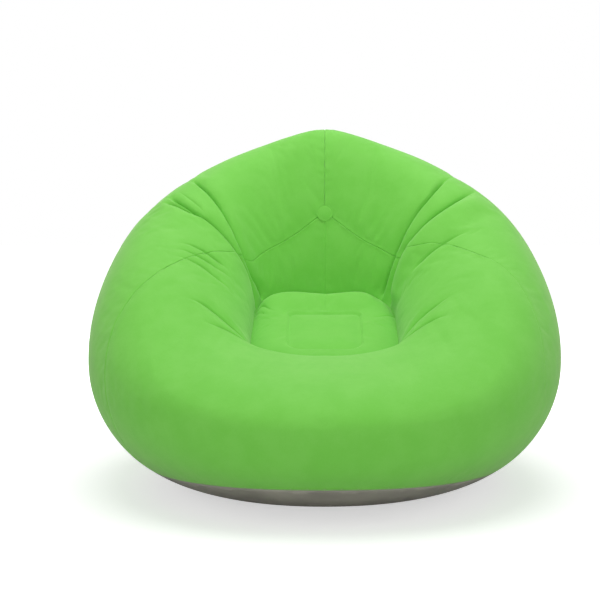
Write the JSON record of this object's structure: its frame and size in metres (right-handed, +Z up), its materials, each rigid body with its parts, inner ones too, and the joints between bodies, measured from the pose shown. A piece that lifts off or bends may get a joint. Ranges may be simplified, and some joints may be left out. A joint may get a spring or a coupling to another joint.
{
  "type": "inflatable sofa chair",
  "caption": "Blown-up sofa chair of flocked vinyl film: high rounded backrest flowing into arms, sunken seat, flat base, screw-in air valve on the back.",
  "frame": {"origin": "on the floor, under the middle of the chair's overall box", "axes": "+Z up, a sitter faces -Y, +X is at the sitter's left hand"},
  "size_m": [1.1, 1.1, 0.85],
  "materials": {
    "flocked_film": "matte flocking",
    "plain_film": "satin film",
    "tie_film": "satin film",
    "moulded_vinyl": "satin",
    "soft_vinyl": "soft satin"
  },
  "bodies": {
    "chair": {"front_gore": "flocked_film", "back_left_gore": "flocked_film", "back_right_gore": "flocked_film", "star_patch": "flocked_film", "base_panel": "plain_film", "seat_tie_front": "tie_film", "seat_tie_right": "tie_film", "seat_tie_back": "tie_film", "seat_tie_left": "tie_film", "valve_seat": "moulded_vinyl"},
    "gasket": {"valve_gasket": "soft_vinyl"},
    "insert": {"valve_insert": "moulded_vinyl", "flap_pin": "moulded_vinyl", "cap_tether": "soft_vinyl"},
    "flap": {"valve_flap": "soft_vinyl"},
    "cap": {"valve_cap": "soft_vinyl"}
  },
  "joints": [
    {"name": "insert_lift", "type": "slide", "parent": "chair", "child": "gasket", "axis": [-0.1761, 0.9661, -0.1887], "range_m": [0, 0.005]},
    {"name": "insert_turn", "type": "hinge", "parent": "gasket", "child": "insert", "pos_m": [-0.1135, 0.53398, 0.26344], "axis": [-0.1761, 0.9661, -0.1887], "range_deg": [0, 720]},
    {"name": "flap_open", "type": "slide", "parent": "insert", "child": "flap", "axis": [0.1761, -0.9661, 0.1887], "range_m": [0, 0.003], "stiffness_N_per_m": 20},
    {"name": "cap_flip", "type": "hinge", "parent": "insert", "child": "cap", "pos_m": [-0.1152, 0.54331, 0.28046], "axis": [0.9838, 0.1793, 0], "range_deg": [0, 110]}
  ],
  "couplings": [
    {"joint": "insert_lift", "follows": "insert_turn", "m_per_rad": 0.0003978}
  ]
}
